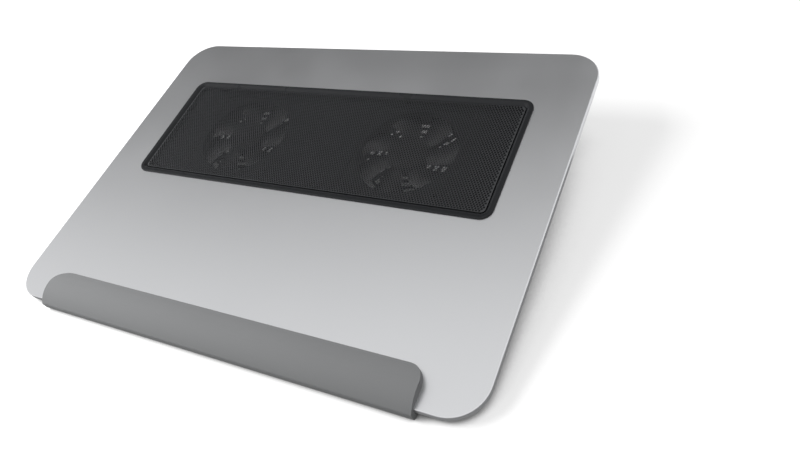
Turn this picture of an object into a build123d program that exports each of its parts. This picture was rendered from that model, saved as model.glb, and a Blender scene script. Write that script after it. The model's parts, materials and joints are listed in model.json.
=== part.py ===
from build123d import *
import os
from math import asin, atan2, cos, hypot, radians, sin, tan

# Laptop cooling pad, millimetres, +Z up, front towards -Y.
# The pad stands on the nose of its front lip and on the foot bar of its folding leg, so its deck slopes
# down to the front. The origin is on the ground, under the middle of the pad.
# Deck coordinates: x to the right, y to the rear, z up from the middle of the deck's top face.

os.makedirs("parts", exist_ok=True)

# ---------------------------------------------------------------- driving dimensions

# Deck: a pressed aluminium pan, closed from below by a plastic panel.
deck_width = 380.0
deck_depth = 277.0
deck_rim = 5.2
deck_skin = 1.6
deck_corner_radius = 24.0
deck_edge_round = 0.8
deck_foot_round = 1.3
panel_thickness = 1.8
panel_gap = 0.15

# Mesh and its raised bezel.
bezel_width = 309.0
bezel_depth = 103.4
bezel_corner_radius = 8.7
bezel_rear_margin = 48.3
bezel_face = 4.5
bezel_lap = 3.0
bezel_rise = 1.3
bezel_edge_round = 0.9
bezel_ledge = 2.4
bezel_skirt = 3.2
mesh_thickness = 0.7
mesh_drop = 0.3
mesh_groove = 1.0
hook_length = 9.0
hook_reach = 1.0
long_side_hooks = 4
long_hook_pitch = 70.0
short_side_hooks = 2
short_hook_pitch = 35.0

# Front lip: a rubber C-section pushed over the deck's front edge.
lip_length = 306.0
lip_lap = 24.7
lip_step = 1.0
lip_crest = 6.0
lip_nose = 3.5
lip_nose_radius = 3.0
lip_shoulder_drop = 0.5
lip_shoulder_radius = 2.6
lip_sole = 3.0
lip_hook_reach = 7.5
lip_corner_radius = 12.0
lip_slot_gap = 0.15

# Fan tray under the mesh.
tray_overhang = 1.1
tray_height = 9.8
tray_wall = 2.0
tray_floor = 1.6
tray_chamfer = 1.4
boss_radius = 3.6
boss_inset_x = 14.0
boss_inset_y = 7.5

# Intake grilles in the tray's floor.
grille_eye_radius = 14.0
grille_slot = 4.2
grille_ring = 1.8
grille_rings = 4
grille_spokes = 6
grille_spoke_width = 2.6

# Fans.
fan_end_margin = 80.7
fan_size = 80.0
fan_thickness = 10.0
fan_window_gap = 0.6
fan_corner_radius = 4.0
fan_bore_radius = 38.2
fan_duct_wall = 1.5
fan_flange = 2.2
fan_hole_pitch = 71.5
fan_struts = 4
fan_strut_turn = 45.0
fan_strut_width = 3.0
fan_strut_height = 1.6
motor_base_radius = 15.0
motor_base_height = 1.4
hub_radius = 15.5
hub_wall = 1.3
hub_gap = 0.6
hub_top_gap = 1.0
hub_edge_round = 0.8
blade_count = 7
blade_thickness = 1.1
blade_tip_gap = 0.9
blade_root_pitch = 26.0
blade_tip_pitch = 15.0
blade_root_chord = 13.0
blade_tip_chord = 22.0
blade_middle_sweep = 5.3
blade_tip_sweep = 16.0
blade_camber = 0.07
shaft_radius = 1.0
shaft_gap = 0.04
bearing_radius = 2.5
bearing_tube_wall = 1.0
magnet_thickness = 1.6
magnet_height = 5.0
stator_height = 4.6
stator_air_gap = 0.5
stator_poles = 4
stator_slot_width = 3.0

# Corner blocks with the leg's hinges.
block_inner_cheek = 6.0
block_outer_cheek = 14.4
block_rear_margin = 4.9
block_depth = 28.0
block_height = 9.6
block_roof = 1.6
block_front_slope = 2.6
block_corner_radius = 3.0
hinge_setback = 19.6
hinge_drop = 10.1
pin_radius = 1.25
pin_recess = 2.0
barrel_radius = 2.9
barrel_pocket_gap = 0.5
washer_thickness = 1.4
washer_radius = 2.7

# Folding leg.
leg_lean = 12.5
leg_side_margin = 36.5
leg_reach = 43.4
leg_thickness = 4.0
leg_arm_width = 36.0
leg_crossbar = 20.7
leg_corner_radius = 36.0
leg_window_radius = 12.0
leg_edge_round = 0.5
flange_thickness = 2.1
flange_bend_radius = 0.5

# Rubber foot bar: a J-section on the rear face and under the lower edge of the leg.
bar_length = 214.0
bar_height = 25.8
bar_thickness = 3.5
bar_sole = 3.1
bar_hook_reach = 6.5
bar_nose_radius = 1.2

# Power inlet and control board behind the right fan.
inlet_x = 50.0
inlet_width = 7.7
inlet_height = 4.0
inlet_depth = 9.2
inlet_wall = 0.5
inlet_tongue_width = 4.0
inlet_tongue_length = 7.2
inlet_tongue_height = 1.0
board_length = 32.0
board_depth = 9.0
board_thickness = 1.2
board_post = 1.6
board_post_radius = 1.8
header_size = 4.5
header_height = 3.2
lead_radius = 0.9
lead_bend_radius = 4.0
lead_lane = 10.0

# Screws.
screw_radius = 1.2
screw_head_radius = 2.3
screw_head_height = 1.3
small_screw_radius = 0.95
small_head_radius = 1.7
small_head_height = 0.9
post_radius = 3.4
base_screw_inset = 16.0
base_screw_column = 60.0
block_screw_offset = 9.0
knuckle_screw_pitch = 20.0
knuckle_bite = 2.6
shaft_bite = 0.9

# Clearances.
seat_gap = 0.05
swing_gap = 0.3
side_gap = 0.5
screw_gap = 0.05

# ---------------------------------------------------------------- worked-out places (deck coordinates)

front_edge = -deck_depth / 2
rear_edge = deck_depth / 2
panel_top = -deck_rim + panel_thickness
bezel_y = rear_edge - bezel_rear_margin - bezel_depth / 2
opening_width = bezel_width - 2 * bezel_lap
opening_depth = bezel_depth - 2 * bezel_lap
opening_radius = bezel_corner_radius - bezel_lap
sight_width = bezel_width - 2 * bezel_face
sight_depth = bezel_depth - 2 * bezel_face
sight_radius = bezel_corner_radius - bezel_face
mesh_bottom = -mesh_drop - mesh_thickness

tray_depth = bezel_depth + 2 * tray_overhang
tray_rear = bezel_y + tray_depth / 2
tray_bottom = -deck_rim - tray_height
tray_floor_top = tray_bottom + tray_floor
fan_x = bezel_width / 2 - fan_end_margin
fan_y = bezel_y
fan_window = fan_size + 2 * fan_window_gap

hinge_y = rear_edge - hinge_setback
block_rear = rear_edge - block_rear_margin
block_front = block_rear - block_depth
block_bottom = -deck_rim - block_height
leg_width = deck_width - 2 * leg_side_margin
arm_centre = (leg_width - leg_arm_width) / 2
pocket_width = leg_arm_width + 2 * side_gap
block_inner = arm_centre - pocket_width / 2 - block_inner_cheek
block_outer = arm_centre + pocket_width / 2 + block_outer_cheek
block_width = block_outer - block_inner
pocket_roof = -deck_rim - block_roof
pocket_rear = hinge_y + barrel_radius + barrel_pocket_gap
barrel_length = pocket_width - 2 * (washer_thickness + seat_gap + swing_gap)
flange_reach = pocket_roof - swing_gap + hinge_drop
leg_top = block_bottom - swing_gap
block_screw_x = block_outer - block_outer_cheek / 2
lean = radians(leg_lean)
flange_root = (flange_thickness - leg_top - hinge_drop) * tan(lean)
bend_end = (flange_thickness - leg_top - hinge_drop) / cos(lean) + 2 * flange_bend_radius
knuckle_screw_y = hinge_y + (flange_root - flange_reach) / 2

board_y = (fan_y + fan_size / 2 + tray_rear - tray_wall) / 2
board_top = tray_floor_top + board_post + board_thickness

hub_bottom = motor_base_height + hub_gap
hub_top = fan_thickness - hub_top_gap
hub_middle = (hub_bottom + hub_top) / 2
tube_top = hub_top - hub_wall - hub_gap
blade_tip_radius = fan_bore_radius - blade_tip_gap
magnet_radius = hub_radius - hub_wall - seat_gap
stator_radius = magnet_radius - magnet_thickness - stator_air_gap

hook_tip = leg_thickness + bar_thickness - bar_hook_reach
bar_bottom = leg_reach + bar_sole

# The pad's slope: the line under the lip's nose and the foot bar's nose is the ground.
lip_nose_y = front_edge - lip_nose + lip_nose_radius
lip_nose_z = -deck_rim - lip_sole + lip_nose_radius


def leg_to_deck(back, down):
    """Deck (y, z) of a point back from the leg's front face and down from the hinge axis."""
    return (
        hinge_y + back * cos(lean) + down * sin(lean),
        -hinge_drop + back * sin(lean) - down * cos(lean),
    )


bar_nose_y, bar_nose_z = leg_to_deck(hook_tip + bar_nose_radius, bar_bottom - bar_nose_radius)
stance = hypot(bar_nose_y - lip_nose_y, bar_nose_z - lip_nose_z)
slope = asin((bar_nose_radius - lip_nose_radius) / stance) - atan2(
    bar_nose_z - lip_nose_z, bar_nose_y - lip_nose_y
)

# The deck's origin in the pad's frame, with the ground at z = 0 and the pad centred on y = 0.
shoulder_y = front_edge - lip_nose + lip_shoulder_radius
shoulder_z = -lip_shoulder_drop - lip_shoulder_radius
heel_y, heel_z = leg_to_deck(leg_thickness + bar_thickness - bar_nose_radius, bar_bottom - bar_nose_radius)
front_reach = shoulder_y * cos(slope) - shoulder_z * sin(slope) - lip_shoulder_radius
rear_reach = heel_y * cos(slope) - heel_z * sin(slope) + bar_nose_radius
origin_y = -(front_reach + rear_reach) / 2
origin_z = lip_nose_radius - lip_nose_y * sin(slope) - lip_nose_z * cos(slope)

deck = Plane(origin=(0, origin_y, origin_z), x_dir=(1, 0, 0), z_dir=(0, -sin(slope), cos(slope)))
hinge_point = deck.from_local_coords((0, hinge_y, -hinge_drop))
leg_face = Plane(
    origin=hinge_point, x_dir=(1, 0, 0), z_dir=(0, cos(lean + slope), sin(lean + slope))
)


def level(z):
    """Plane parallel to the deck at height z, facing up."""
    return deck.offset(z)


def underside(z):
    """Plane parallel to the deck at height z, facing down; its y runs to the front."""
    return Plane(origin=deck.from_local_coords((0, 0, z)), x_dir=deck.x_dir, z_dir=-deck.z_dir)


def profile(x):
    """Plane across the pad at x; sketches on it are drawn in deck (y, z)."""
    return Plane(origin=deck.from_local_coords((x, 0, 0)), x_dir=deck.y_dir, z_dir=deck.x_dir)


def leg_profile(x):
    """Plane across the leg at x; sketches on it are drawn in (back, up) from the hinge axis."""
    return Plane(origin=leg_face.from_local_coords((x, 0, 0)), x_dir=leg_face.z_dir, z_dir=leg_face.x_dir)


def finish(part, name):
    """Label a finished piece and write its STEP file."""
    part.label = name
    export_step(part, f"parts/{name}.step")


def screw(head_radius, head_height, radius, length):
    """Countersunk screw at the current locations, head flat on the plane, shank along -z."""
    below = (Align.CENTER, Align.CENTER, Align.MAX)
    Cone(radius, head_radius, head_height, align=below)
    Cylinder(radius, length, align=below)


sides = (("left", -1), ("right", 1))

base_screw_spots = [
    (sx * (deck_width / 2 - base_screw_inset), y)
    for sx in (-1, 1)
    for y in (front_edge + base_screw_inset, bezel_y)
] + [
    (sx * base_screw_column, y)
    for sx in (-1, 1)
    for y in (front_edge + base_screw_inset, rear_edge - base_screw_inset)
]
block_screw_spots = [
    (sx * block_screw_x, hinge_y + offset)
    for sx in (-1, 1)
    for offset in (-block_screw_offset, block_screw_offset)
]
knuckle_screw_spots = [
    (sx * arm_centre + offset * knuckle_screw_pitch / 2, knuckle_screw_y)
    for sx in (-1, 1)
    for offset in (-1, 1)
]
tray_screw_spots = [
    (x, y)
    for x in (boss_inset_x - bezel_width / 2, 0, bezel_width / 2 - boss_inset_x)
    for y in (bezel_y - tray_depth / 2 + boss_inset_y, tray_rear - boss_inset_y)
]

fan_screw_spots = [
    (sx * fan_x + px * fan_hole_pitch / 2, fan_y + py * fan_hole_pitch / 2)
    for sx in (-1, 1)
    for px in (-1, 1)
    for py in (-1, 1)
]

# ---------------------------------------------------------------- deck

with BuildPart() as top_plate:
    with BuildSketch(deck):
        RectangleRounded(deck_width, deck_depth, deck_corner_radius)
    extrude(amount=-deck_rim)
    foot_face, *_, top_face = top_plate.faces().sort_by(Axis((0, 0, 0), deck.z_dir))
    fillet(top_face.edges(), deck_edge_round)
    fillet(foot_face.edges(), deck_foot_round)
    with BuildSketch(level(-deck_skin)):
        RectangleRounded(
            deck_width - 2 * deck_skin, deck_depth - 2 * deck_skin, deck_corner_radius - deck_skin
        )
    extrude(amount=deck_skin - deck_rim, mode=Mode.SUBTRACT)
    with BuildSketch(level(-deck_skin)):
        with Locations(*base_screw_spots, *block_screw_spots):
            Circle(post_radius)
    extrude(amount=deck_skin + panel_top)
    with BuildSketch(deck):
        with Locations((0, bezel_y)):
            RectangleRounded(opening_width, opening_depth, opening_radius)
    extrude(amount=-deck_skin, mode=Mode.SUBTRACT)
    with BuildSketch(level(panel_top)):
        with Locations(*base_screw_spots, *block_screw_spots):
            Circle(screw_radius + screw_gap)
    extrude(amount=-panel_top - deck_skin, mode=Mode.SUBTRACT)
finish(top_plate.part, "top_plate")

panel_inset = deck_skin + panel_gap
with BuildPart() as base_panel:
    with BuildSketch(level(-deck_rim)):
        RectangleRounded(
            deck_width - 2 * panel_inset, deck_depth - 2 * panel_inset, deck_corner_radius - panel_inset
        )
        with Locations((-fan_x, fan_y), (fan_x, fan_y)):
            RectangleRounded(fan_window, fan_window, fan_corner_radius, mode=Mode.SUBTRACT)
        with Locations(*block_screw_spots, *tray_screw_spots):
            Circle(screw_radius + screw_gap, mode=Mode.SUBTRACT)
    extrude(amount=panel_thickness)
    with Locations(underside(-deck_rim)):
        with Locations(*[(x, -y) for x, y in base_screw_spots]):
            CounterSinkHole(screw_radius + screw_gap, screw_head_radius + screw_gap, depth=panel_thickness)
finish(base_panel.part, "base_panel")

with BuildPart(underside(-deck_rim)) as base_screws:
    with Locations(*[(x, -y) for x, y in base_screw_spots]):
        screw(screw_head_radius, screw_head_height, screw_radius, -panel_top - deck_skin + panel_thickness)
finish(base_screws.part, "base_screws")

# ---------------------------------------------------------------- mesh and bezel

with BuildPart() as mesh_bezel:
    with BuildSketch(deck):
        with Locations((0, bezel_y)):
            RectangleRounded(bezel_width, bezel_depth, bezel_corner_radius)
            RectangleRounded(sight_width, sight_depth, sight_radius, mode=Mode.SUBTRACT)
    extrude(amount=bezel_rise)
    fillet(mesh_bezel.faces().sort_by(Axis((0, 0, 0), deck.z_dir))[-1].edges(), bezel_edge_round)
    with BuildSketch(deck):
        with Locations((0, bezel_y)):
            RectangleRounded(opening_width - 2 * panel_gap, opening_depth - 2 * panel_gap, opening_radius)
            RectangleRounded(sight_width, sight_depth, sight_radius, mode=Mode.SUBTRACT)
    extrude(amount=-bezel_skirt)
    with BuildSketch(level(-bezel_skirt)):
        with Locations((0, bezel_y)):
            RectangleRounded(sight_width, sight_depth, sight_radius)
            RectangleRounded(
                sight_width - 2 * bezel_ledge,
                sight_depth - 2 * bezel_ledge,
                sight_radius - bezel_ledge,
                mode=Mode.SUBTRACT,
            )
    extrude(amount=bezel_skirt + mesh_bottom)
    with BuildSketch(level(-bezel_skirt)):
        with Locations((0, bezel_y)):
            with GridLocations(long_hook_pitch, opening_depth - 2 * panel_gap, long_side_hooks, 2):
                Rectangle(hook_length, 2 * hook_reach)
            with GridLocations(opening_width - 2 * panel_gap, short_hook_pitch, 2, short_side_hooks):
                Rectangle(2 * hook_reach, hook_length)
            RectangleRounded(sight_width, sight_depth, sight_radius, mode=Mode.SUBTRACT)
    extrude(amount=bezel_skirt - deck_skin - seat_gap)
finish(mesh_bezel.part, "mesh_bezel")

with BuildPart() as mesh_grille:
    with BuildSketch(level(mesh_bottom)):
        with Locations((0, bezel_y)):
            RectangleRounded(
                sight_width - 2 * mesh_groove, sight_depth - 2 * mesh_groove, sight_radius - mesh_groove
            )
    extrude(amount=mesh_thickness)
finish(mesh_grille.part, "mesh_grille")

# ---------------------------------------------------------------- front lip

lip_rear = front_edge + lip_lap
lip_front = front_edge - lip_nose
with BuildPart() as front_lip:
    with BuildSketch(profile(-lip_length / 2)) as section:
        with BuildLine():
            Polyline((lip_rear, 0), (lip_rear, lip_step))
            ThreePointArc(
                (lip_rear, lip_step),
                ((lip_rear + lip_front) / 2, lip_crest),
                (lip_front, -lip_shoulder_drop),
            )
            Polyline(
                (lip_front, -lip_shoulder_drop),
                (lip_front, -deck_rim - lip_sole),
                (front_edge + lip_hook_reach, -deck_rim - lip_sole),
                (front_edge + lip_hook_reach, -deck_rim - lip_slot_gap),
                (front_edge - lip_slot_gap, -deck_rim - lip_slot_gap),
                (front_edge - lip_slot_gap, 0),
                (lip_rear, 0),
            )
        make_face()
        front_corners = section.vertices().group_by(Axis.X)[0].sort_by(Axis.Y)
        fillet(front_corners[-1], lip_shoulder_radius)
        front_corners = section.vertices().group_by(Axis.Y)[0].sort_by(Axis.X)
        fillet(front_corners[0], lip_nose_radius)
    extrude(amount=lip_length)
    with BuildSketch(level(-deck_rim - lip_sole)) as plan:
        with Locations((0, (lip_rear + lip_front) / 2)):
            Rectangle(lip_length, lip_rear - lip_front)
        fillet(plan.vertices().group_by(Axis.Y)[-1], lip_corner_radius)
    extrude(amount=deck_rim + lip_sole + lip_crest, mode=Mode.INTERSECT)
finish(front_lip.part, "front_lip")

# ---------------------------------------------------------------- fan tray

with BuildPart() as fan_tray:
    with BuildSketch(level(tray_bottom)):
        with Locations((0, bezel_y)):
            RectangleRounded(bezel_width, tray_depth, bezel_corner_radius)
    extrude(amount=tray_height)
    chamfer(fan_tray.faces().sort_by(Axis((0, 0, 0), deck.z_dir))[0].edges(), tray_chamfer)
    with BuildSketch(level(tray_floor_top)):
        with Locations((0, bezel_y)):
            RectangleRounded(
                bezel_width - 2 * tray_wall, tray_depth - 2 * tray_wall, bezel_corner_radius - tray_wall
            )
    extrude(amount=tray_height - tray_floor, mode=Mode.SUBTRACT)
    with BuildSketch(level(tray_floor_top)):
        with Locations(*tray_screw_spots):
            Circle(boss_radius)
    extrude(amount=tray_height - tray_floor)
    with BuildSketch(level(tray_bottom)):
        with Locations((-fan_x, fan_y), (fan_x, fan_y)):
            for ring in reversed(range(grille_rings)):
                slot_inner = grille_eye_radius + ring * (grille_slot + grille_ring)
                Circle(slot_inner + grille_slot)
                Circle(slot_inner, mode=Mode.SUBTRACT)
            for spoke in range(grille_spokes // 2):
                Rectangle(
                    2 * fan_bore_radius,
                    grille_spoke_width,
                    rotation=spoke * 360 / grille_spokes,
                    mode=Mode.SUBTRACT,
                )
    extrude(amount=tray_floor, mode=Mode.SUBTRACT)
    with BuildSketch(level(tray_floor_top)):
        with Locations((inlet_x, board_y)):
            with GridLocations(board_length - 2 * board_post_radius, 1, 2, 1):
                Circle(board_post_radius)
    extrude(amount=board_post)
    with BuildSketch(level(board_top)):
        with Locations((inlet_x, tray_rear)):
            Rectangle(inlet_width + 2 * panel_gap, 2 * inlet_depth)
    extrude(amount=inlet_height + panel_gap, mode=Mode.SUBTRACT)
    with Locations(underside(tray_bottom)):
        with Locations(*[(x, -y) for x, y in tray_screw_spots]):
            CounterSinkHole(screw_radius + screw_gap, screw_head_radius + screw_gap, depth=tray_height)
        with Locations(*[(x, -y) for x, y in fan_screw_spots]):
            CounterSinkHole(screw_radius + screw_gap, screw_head_radius + screw_gap, depth=tray_floor)
finish(fan_tray.part, "fan_tray")

with BuildPart(underside(tray_bottom)) as tray_screws:
    with Locations(*[(x, -y) for x, y in tray_screw_spots]):
        screw(screw_head_radius, screw_head_height, screw_radius, tray_height + panel_thickness)
finish(tray_screws.part, "tray_screws")

with BuildPart(underside(tray_bottom)) as fan_screws:
    with Locations(*[(x, -y) for x, y in fan_screw_spots]):
        screw(screw_head_radius, screw_head_height, screw_radius, tray_floor + fan_flange)
finish(fan_screws.part, "fan_screws")

# ---------------------------------------------------------------- fans


def fan_floor(sx):
    """Plane on the tray's floor at the middle of a fan, facing up."""
    return Plane(
        origin=deck.from_local_coords((sx * fan_x, fan_y, tray_floor_top)),
        x_dir=deck.x_dir,
        z_dir=deck.z_dir,
    )


def blade_plane(seat, radius, turn, pitch):
    """Plane across a blade, radius from the hub's axis and turned round it, pitched to the air."""
    angle = radians(turn)
    middle = seat.from_local_coords((radius * cos(angle), radius * sin(angle), hub_middle))
    outward = seat.x_dir * cos(angle) + seat.y_dir * sin(angle)
    along = seat.y_dir * cos(angle) - seat.x_dir * sin(angle)
    return Plane(origin=middle, x_dir=along, z_dir=outward).rotated((0, 0, pitch))


# Radius, angle round the hub, chord and pitch of the blade's root, middle and tip sections.
blade_stations = (
    (hub_radius - 2 * hub_wall, 0, blade_root_chord, blade_root_pitch),
    (
        (hub_radius + blade_tip_radius) / 2,
        blade_middle_sweep,
        (blade_root_chord + blade_tip_chord) / 2,
        (blade_root_pitch + blade_tip_pitch) / 2,
    ),
    (blade_tip_radius + blade_tip_gap, blade_tip_sweep, blade_tip_chord, blade_tip_pitch),
)

for side, sx in sides:
    seat = fan_floor(sx)

    with BuildPart() as fan_frame:
        for flange_z in (0, fan_thickness - fan_flange):
            with BuildSketch(seat.offset(flange_z)):
                RectangleRounded(fan_size, fan_size, fan_corner_radius)
                with GridLocations(fan_hole_pitch, fan_hole_pitch, 2, 2):
                    Circle(screw_radius + screw_gap, mode=Mode.SUBTRACT)
            extrude(amount=fan_flange)
        with BuildSketch(seat):
            Circle(fan_bore_radius + fan_duct_wall)
        extrude(amount=fan_thickness)
        with BuildSketch(seat):
            Circle(fan_bore_radius)
        extrude(amount=fan_thickness, mode=Mode.SUBTRACT)
        with BuildSketch(seat):
            Circle(motor_base_radius)
        extrude(amount=motor_base_height)
        with BuildSketch(seat):
            with PolarLocations(
                (motor_base_radius + fan_bore_radius) / 2, fan_struts, start_angle=fan_strut_turn
            ):
                Rectangle(fan_bore_radius - motor_base_radius + fan_duct_wall, fan_strut_width)
        extrude(amount=fan_strut_height)
        with BuildSketch(seat.offset(motor_base_height)):
            Circle(bearing_radius + seat_gap + bearing_tube_wall)
            Circle(bearing_radius + seat_gap, mode=Mode.SUBTRACT)
        extrude(amount=tube_top - motor_base_height)
    finish(fan_frame.part, f"fan_frame_{side}")

    with BuildPart() as fan_bearing:
        with BuildSketch(seat.offset(motor_base_height)):
            Circle(bearing_radius)
            Circle(shaft_radius + shaft_gap, mode=Mode.SUBTRACT)
        extrude(amount=tube_top - motor_base_height)
    finish(fan_bearing.part, f"fan_bearing_{side}")

    with BuildPart() as fan_stator:
        with BuildSketch(seat.offset(motor_base_height)):
            Circle(stator_radius)
            with PolarLocations(stator_radius, stator_poles):
                Rectangle(stator_radius, stator_slot_width, mode=Mode.SUBTRACT)
            Circle(bearing_radius + 2 * seat_gap + bearing_tube_wall, mode=Mode.SUBTRACT)
        extrude(amount=stator_height)
    finish(fan_stator.part, f"fan_stator_{side}")

    with BuildPart() as blade:
        for radius, turn, chord, pitch in blade_stations:
            bow = blade_camber * chord
            with BuildSketch(blade_plane(seat, radius, turn, pitch)):
                with BuildLine():
                    ThreePointArc((-chord / 2, 0), (0, bow + blade_thickness / 2), (chord / 2, 0))
                    ThreePointArc((chord / 2, 0), (0, bow - blade_thickness / 2), (-chord / 2, 0))
                make_face()
        loft()
        with BuildSketch(seat):
            Circle(blade_tip_radius)
        extrude(amount=fan_thickness, mode=Mode.INTERSECT)

    with BuildPart() as fan_rotor:
        with BuildSketch(seat.offset(hub_bottom)):
            Circle(hub_radius)
        extrude(amount=hub_top - hub_bottom)
        fillet(fan_rotor.faces().sort_by(Axis((0, 0, 0), deck.z_dir))[-1].edges(), hub_edge_round)
        for turn in range(blade_count):
            add(blade.part.rotate(Axis(seat.origin, seat.z_dir), turn * 360 / blade_count))
        with BuildSketch(seat.offset(hub_bottom)):
            Circle(hub_radius - hub_wall)
        extrude(amount=hub_top - hub_wall - hub_bottom, mode=Mode.SUBTRACT)
        with BuildSketch(seat.offset(hub_top - hub_wall)):
            Circle(shaft_radius)
        extrude(amount=shaft_bite, mode=Mode.SUBTRACT)
    finish(fan_rotor.part, f"fan_rotor_{side}")

    with BuildPart() as fan_magnet:
        with BuildSketch(seat.offset(hub_bottom)):
            Circle(magnet_radius)
            Circle(magnet_radius - magnet_thickness, mode=Mode.SUBTRACT)
        extrude(amount=magnet_height)
    finish(fan_magnet.part, f"fan_magnet_{side}")

    with BuildPart() as fan_shaft:
        with BuildSketch(seat.offset(motor_base_height + hub_gap)):
            Circle(shaft_radius)
        extrude(amount=hub_top - hub_wall + shaft_bite - motor_base_height - hub_gap)
    finish(fan_shaft.part, f"fan_shaft_{side}")

# ---------------------------------------------------------------- power inlet, board and leads

with BuildPart() as control_board:
    with BuildSketch(level(board_top - board_thickness)):
        with Locations((inlet_x, board_y)):
            Rectangle(board_length, board_depth)
    extrude(amount=board_thickness)
    with BuildSketch(level(board_top)):
        with Locations((inlet_x, board_y)):
            with GridLocations(board_length - header_size, 1, 2, 1):
                Rectangle(header_size, header_size)
    extrude(amount=header_height)
finish(control_board.part, "control_board")

with BuildPart() as power_socket:
    with BuildSketch(level(board_top)):
        with Locations((inlet_x, tray_rear - inlet_depth / 2)):
            Rectangle(inlet_width, inlet_depth)
    extrude(amount=inlet_height)
    with BuildSketch(level(board_top + inlet_wall)):
        with Locations((inlet_x, tray_rear - inlet_depth / 2 + inlet_wall)):
            Rectangle(inlet_width - 2 * inlet_wall, inlet_depth)
    extrude(amount=inlet_height - 2 * inlet_wall, mode=Mode.SUBTRACT)
    with BuildSketch(level(board_top + (inlet_height - inlet_tongue_height) / 2)):
        with Locations((inlet_x, tray_rear - inlet_depth)):
            Rectangle(inlet_tongue_width, inlet_tongue_length, align=(Align.CENTER, Align.MIN))
    extrude(amount=inlet_tongue_height)
finish(power_socket.part, "power_socket")

lead_height = board_top + header_height / 2
duct_side = fan_bore_radius + fan_duct_wall + seat_gap
lead_routes = {
    "left": [
        (-fan_x + duct_side, fan_y),
        (fan_x - fan_size / 2 - lead_lane, fan_y),
        (fan_x - fan_size / 2 - lead_lane, board_y),
        (inlet_x - board_length / 2 - seat_gap, board_y),
    ],
    "right": [
        (fan_x, fan_y + duct_side),
        (fan_x, board_y),
        (inlet_x + board_length / 2 + seat_gap, board_y),
    ],
}
for side, route in lead_routes.items():
    with BuildPart() as fan_lead:
        with BuildLine(level(lead_height)) as run:
            FilletPolyline(*route, radius=lead_bend_radius)
        with BuildSketch(Plane(origin=run.line @ 0, z_dir=run.line % 0)):
            Circle(lead_radius)
        sweep()
    finish(fan_lead.part, f"fan_lead_{side}")

# ---------------------------------------------------------------- corner blocks and hinges

for side, sx in sides:
    block_start = (sx * (block_inner + block_outer) - block_width) / 2
    arm_x = sx * arm_centre

    with BuildPart() as corner_block:
        with BuildSketch(profile(block_start)) as section:
            with BuildLine():
                Polyline(
                    (block_rear, -deck_rim),
                    (block_rear, block_bottom),
                    (block_front + block_front_slope, block_bottom),
                    (block_front, -deck_rim),
                    close=True,
                )
            make_face()
            fillet(section.vertices().group_by(Axis.Y)[0].sort_by(Axis.X)[0], block_corner_radius)
        extrude(amount=block_width)
        fillet(corner_block.edges().filter_by(Axis((0, 0, 0), deck.z_dir)), block_corner_radius)
        with BuildSketch(level(pocket_roof)):
            with Locations((arm_x, (pocket_rear + block_front) / 2 - block_corner_radius)):
                Rectangle(pocket_width, pocket_rear - block_front + 2 * block_corner_radius)
        extrude(amount=block_bottom - pocket_roof, mode=Mode.SUBTRACT)
        with BuildSketch(profile(block_start)):
            with Locations((hinge_y, -hinge_drop)):
                Circle(pin_radius + seat_gap)
        extrude(amount=block_width, mode=Mode.SUBTRACT)
        with Locations(underside(block_bottom)):
            with Locations(*[(x, -y) for x, y in block_screw_spots if x * sx > 0]):
                CounterSinkHole(screw_radius + screw_gap, screw_head_radius + screw_gap, depth=block_height)
    finish(corner_block.part, f"corner_block_{side}")

    with BuildPart() as hinge_pin:
        with BuildSketch(profile(block_start + pin_recess)):
            with Locations((hinge_y, -hinge_drop)):
                Circle(pin_radius)
        extrude(amount=block_width - 2 * pin_recess)
    finish(hinge_pin.part, f"hinge_pin_{side}")

    with BuildPart() as friction_washers:
        for edge in (-1, 1):
            washer_face = arm_x + edge * (pocket_width / 2 - seat_gap - washer_thickness / 2)
            with BuildSketch(profile(washer_face)):
                with Locations((hinge_y, -hinge_drop)):
                    Circle(washer_radius)
                    Circle(pin_radius + seat_gap, mode=Mode.SUBTRACT)
            extrude(amount=washer_thickness / 2, both=True)
    finish(friction_washers.part, f"friction_washers_{side}")

    with BuildPart() as hinge_knuckle:
        with BuildSketch(profile(arm_x)):
            with Locations((hinge_y, -hinge_drop)):
                Circle(barrel_radius)
            with Locations((hinge_y, (leg_top - hinge_drop) / 2)):
                Rectangle(2 * barrel_radius, -hinge_drop - leg_top)
            with Locations((hinge_y, -hinge_drop)):
                Circle(pin_radius + seat_gap, mode=Mode.SUBTRACT)
        extrude(amount=barrel_length / 2, both=True)
        with Locations(underside(leg_top)):
            with Locations(*[(x, -y) for x, y in knuckle_screw_spots if x * sx > 0]):
                Hole(small_screw_radius + screw_gap, depth=knuckle_bite)
    finish(hinge_knuckle.part, f"hinge_knuckle_{side}")

with BuildPart(underside(block_bottom)) as block_screws:
    with Locations(*[(x, -y) for x, y in block_screw_spots]):
        screw(screw_head_radius, screw_head_height, screw_radius, -deck_skin - block_bottom - seat_gap)
finish(block_screws.part, "block_screws")

# ---------------------------------------------------------------- folding leg

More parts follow.
